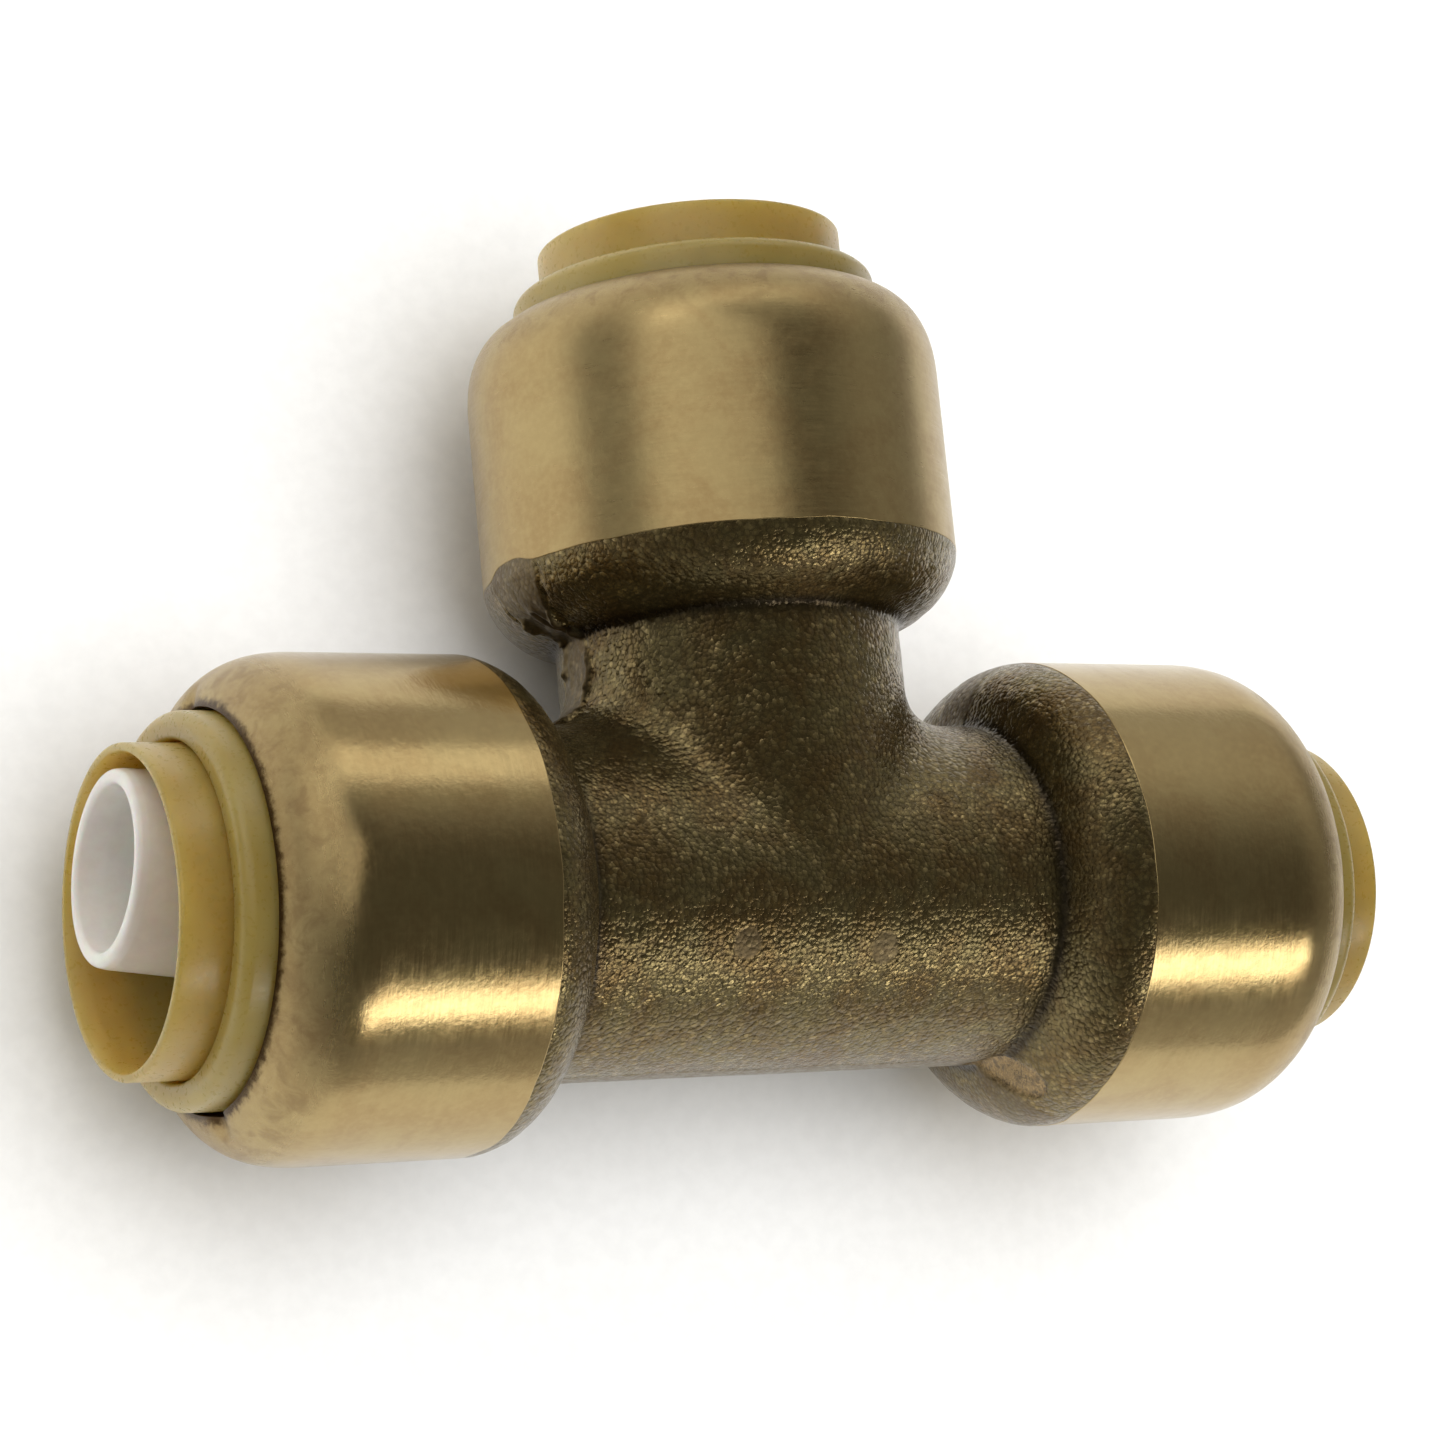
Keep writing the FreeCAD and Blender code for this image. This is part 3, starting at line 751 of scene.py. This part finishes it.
def cast_brass():
    """Dark brown-olive casting skin of small grains, each tilted its own way so that it glints."""
    material, shader = new_material("cast_brass")
    g = Graph(material)
    plain = g.stretched((1, 1, 1))
    worked, filed, corner = [g.add("ShaderNodeAttribute", attribute_name=name).outputs["Fac"]
                             for name in ("worked", "filed", "shade_and_dirt")]
    bent = g.add("ShaderNodeTexNoise")
    g.join(plain, bent.inputs["Vector"])
    bent.inputs["Scale"].default_value = 3.0
    wavy = g.vector_maths("ADD", plain, g.vector_maths("SCALE", bent.outputs["Color"], 0.22))
    gap, grain = g.cells(wavy, 3.6)
    shade, lustre, _ = g.parts(grain)
    cloud = g.noise(plain, 0.30, 4.0, 0.6, 0.5)
    fleck = g.noise(plain, 2.2, 4.0, 0.65)
    base = g.mix(g.spread(cloud, 0.35, 0.65), srgb(132, 118, 78), srgb(122, 100, 60))
    base = g.mix(g.maths("MULTIPLY", shade, 0.3), base, srgb(80, 65, 40))
    base = g.mix(g.spread(lustre, 0.75, 0.95, 0.0, 0.3), base, srgb(196, 174, 122))
    base = g.mix(g.spread(gap, 0.30, 0.62, 0.0, 0.4), base, srgb(50, 40, 25))
    base = g.mix(g.spread(fleck, 0.58, 0.74, 0.0, 0.2), base, srgb(176, 151, 103))
    base = g.mix(g.maths("MULTIPLY", worked, 0.55), base, srgb(98, 84, 62))
    # painted shade, with some dirt, in the corners by the shoulders, and painted shade in the crack and the
    # strip's split
    base = g.mix(g.maths("MULTIPLY", corner, 0.85), base, srgb(34, 26, 17))
    marks = g.scratches((35, -20, 50), 5.0, 0.25, 0.09)
    bright = g.mix(g.spread(fleck, 0.4, 0.6), srgb(112, 96, 74), srgb(158, 133, 94))
    base = g.mix(g.maths("MULTIPLY", filed, 0.85), base, bright)
    base = g.mix(g.maths("MULTIPLY", g.maths("MULTIPLY", filed, marks), 0.6), base, srgb(196, 166, 116))
    g.join(base, shader.inputs["Base Color"])
    shader.inputs["Metallic"].default_value = 0.72
    rough = g.spread(lustre, 0.2, 0.9, 0.27, 0.17)
    tamed = g.maths("MAXIMUM", worked, filed)
    g.join(g.maths("ADD", rough, g.maths("MULTIPLY", tamed, 0.14)), shader.inputs["Roughness"])
    dome = g.maths("MULTIPLY", g.maths("POWER", gap, 2.0), -1.0)
    relief = g.maths("ADD", dome, g.maths("MULTIPLY", g.noise(plain, 4.5, 3.0, 0.6), 0.5))
    rough_skin = g.maths("SUBTRACT", 1.0, g.maths("MULTIPLY", tamed, 0.5))
    normal = g.bump(g.maths("MULTIPLY", relief, rough_skin), 0.045, 1.0)
    normal = g.bump(g.maths("MULTIPLY", filed, marks), 0.03, 0.6, normal)
    g.join(g.facets(grain, g.maths("MULTIPLY", rough_skin, 0.085), normal), shader.inputs["Normal"])
    return material


def cream_acetal(name, light, deep):
    """Cream acetal, slightly translucent."""
    material, shader = new_material(name)
    g = Graph(material)
    plain = g.stretched((1, 1, 1))
    cloud = g.noise(plain, 0.25, 3.0, 0.5)
    g.join(g.mix(g.spread(cloud, 0.3, 0.7), light, deep), shader.inputs["Base Color"])
    g.join(g.spread(g.noise(plain, 3.0, 3.0, 0.6), 0.3, 0.7, 0.26, 0.36), shader.inputs["Roughness"])
    shader.subsurface_method = "BURLEY"
    shader.inputs["Subsurface Weight"].default_value = 0.85
    shader.inputs["Subsurface Radius"].default_value = (1.0, 0.62, 0.2)
    shader.inputs["Subsurface Scale"].default_value = 0.0022
    g.join(g.bump(g.noise(plain, 2.0, 2.0, 0.5), 0.008, 0.3), shader.inputs["Normal"])
    return material


def plain_finish(name, light, deep, rough, metallic=0.0, grain=2.0, height=0.01):
    """A moulded, stamped or rubber finish with small changes of tone."""
    material, shader = new_material(name)
    g = Graph(material)
    plain = g.stretched((1, 1, 1))
    cloud = g.noise(plain, 0.4 * grain, 3.0, 0.6)
    g.join(g.mix(g.spread(cloud, 0.3, 0.7), light, deep), shader.inputs["Base Color"])
    polish = g.spread(g.noise(plain, grain, 3.0, 0.6), 0.3, 0.7, rough - 0.05, rough + 0.05)
    g.join(polish, shader.inputs["Roughness"])
    shader.inputs["Metallic"].default_value = metallic
    g.join(g.bump(g.noise(plain, 2 * grain, 3.0, 0.6), height, 0.4), shader.inputs["Normal"])
    return material


# ---------------------------------------------------------------- build
BRASS_RUN = turned_brass("turned_brass_run", 0, NOSE_START)
BRASS_BRANCH = turned_brass("turned_brass_branch", 1, NOSE_START + PORTS["branch"].extra, 0.12)
CAST = cast_brass()
CREAM = cream_acetal("cream_acetal", srgb(182, 159, 87), srgb(173, 148, 74))
WHITE = plain_finish("white_liner", srgb(246, 244, 238), srgb(240, 237, 231), 0.22)
white_shader = WHITE.node_tree.nodes["Principled BSDF"]
white_shader.inputs["Subsurface Weight"].default_value = 0.4
white_shader.inputs["Subsurface Scale"].default_value = 0.001
STEEL = plain_finish("stainless_spring", srgb(190, 190, 186), srgb(170, 170, 166), 0.25, 1.0, 3.0)
GUARD = plain_finish("guard_nylon", srgb(40, 40, 42), srgb(30, 30, 32), 0.5)
RUBBER = plain_finish("seal_rubber", srgb(24, 24, 24), srgb(18, 18, 18), 0.4)

casting = make_casting()
paint(casting, CAST, "fitting")
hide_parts("tee_body")
for port in PORTS:
    start = PORTS[port].edge - PORTS[port].extra
    relief = socket_relief(port, start)
    socket = turned(f"{port}_turned_socket", socket_outline(start), port, 384, relief=relief)
    paint(socket, BRASS_BRANCH if port == "branch" else BRASS_RUN, "fitting")
    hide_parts("tee_body")
    ring = turned(f"{port}_ring_moulding", ring_outline(), port)
    paint(ring, CREAM, "fitting")
    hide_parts(f"{port}_retaining_ring")
    collar = turned(f"{port}_collar_moulding", collar_outline(), port)
    paint(collar, CREAM, f"{port}_collar")
    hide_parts(f"{port}_release_collar")
    lean = {"left": -LINER_LEAN, "right": LINER_LEAN, "branch": 0.0}[port]
    liner = turned(f"{port}_liner_moulding", liner_outline(), port, 192, lean, LINER_PIVOT)
    paint(liner, WHITE, f"{port}_liner")
    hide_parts(f"{port}_tube_liner")
    for kind, material in (("grab_ring", STEEL), ("guard_ring", GUARD), ("o_ring", RUBBER)):
        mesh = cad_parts[f"{port}_{kind}"].data
        mesh.materials.clear()
        mesh.materials.append(material)

# ---------------------------------------------------------------- floor, light and camera
HALF_FLOOR = 900
corners = [(-HALF_FLOOR, -HALF_FLOOR, 0), (HALF_FLOOR, -HALF_FLOOR, 0),
           (HALF_FLOOR, HALF_FLOOR, 0), (-HALF_FLOOR, HALF_FLOOR, 0)]
floor = mesh_object("floor", corners, [(0, 1, 2, 3)])
floor.location.z = -SOCKET_R * MM
floor.data.materials.append(plain_finish("floor_paper", srgb(246, 246, 246), srgb(242, 242, 242), 0.8))

world = bpy.data.worlds.new("studio")
bpy.context.scene.world = world
world.use_nodes = True
sky = Graph(world)
side, forward, height = sky.parts(sky.add("ShaderNodeTexCoord").outputs["Generated"])
FRONT_WALLS, SIDE_WALLS, CEILING = (0.58, 0.57, 0.54, 1.0), (0.29, 0.29, 0.27, 1.0), (0.11, 0.11, 0.095, 1.0)
walls = sky.mix(sky.spread(sky.maths("ABSOLUTE", side), 0.65, 0.95), FRONT_WALLS, SIDE_WALLS)
tipped = sky.maths("SUBTRACT", height, sky.maths("MULTIPLY", forward, 0.35))
glow = sky.mix(sky.spread(tipped, 0.25, 0.85), walls, CEILING)
sky.join(glow, world.node_tree.nodes["Background"].inputs["Color"])
bpy.context.scene.view_settings.view_transform = "Standard"


def softbox(name, azimuth, elevation, distance, size, brightness, colour=(1, 1, 1)):
    """A soft light that faces the fitting, placed by its direction in degrees."""
    light = bpy.data.lights.new(name, "AREA")
    light.shape = "RECTANGLE"
    light.size, light.size_y = size
    light.energy = brightness * math.pi * size[0] * size[1]
    light.color = colour
    lamp = bpy.data.objects.new(name, light)
    azimuth, elevation = math.radians(azimuth), math.radians(elevation)
    level = math.cos(elevation)
    towards = Vector((level * math.cos(azimuth), level * math.sin(azimuth), math.sin(elevation)))
    lamp.location = distance * towards
    lamp.rotation_euler = (-lamp.location).to_track_quat("-Z", "Y").to_euler()
    bpy.context.scene.collection.objects.link(lamp)
    return lamp


def light_only(lamp, pieces):
    """Lets the lamp light these pieces alone."""
    lit = bpy.data.collections.new(f"{lamp.name}_lights")
    for piece in pieces:
        lit.objects.link(piece)
    lamp.light_linking.receiver_collection = lit


softbox("key", -55, 34, 0.60, (0.42, 0.125), 4.3, (1.0, 0.98, 0.92))
softbox("back_fill", 97, 35, 0.60, (0.86, 0.20), 0.86, (1.0, 0.98, 0.94))
side_fill = softbox("side_fill", 150, 58, 0.60, (0.46, 0.66), 0.80, (1.0, 0.98, 0.94))
wash = softbox("floor_wash", 20, 84, 0.55, (0.55, 0.55), 3.4)
light_only(wash, [floor])
meshes = [piece for piece in bpy.context.scene.objects if piece.type == "MESH"]
light_only(side_fill, [piece for piece in meshes if piece != casting])

camera = bpy.data.cameras.new("camera")
camera.sensor_width = 36.0
camera.lens = 95.84
camera.clip_start, camera.clip_end = 0.01, 10.0
viewer = bpy.data.objects.new("camera", camera)
viewer.location = Vector((-106.752, -28.891, 184.414)) * MM
viewer.rotation_euler = Euler([math.radians(a) for a in (13.507, -28.687, -6.277)], "XYZ")
bpy.context.scene.collection.objects.link(viewer)
bpy.context.scene.camera = viewer
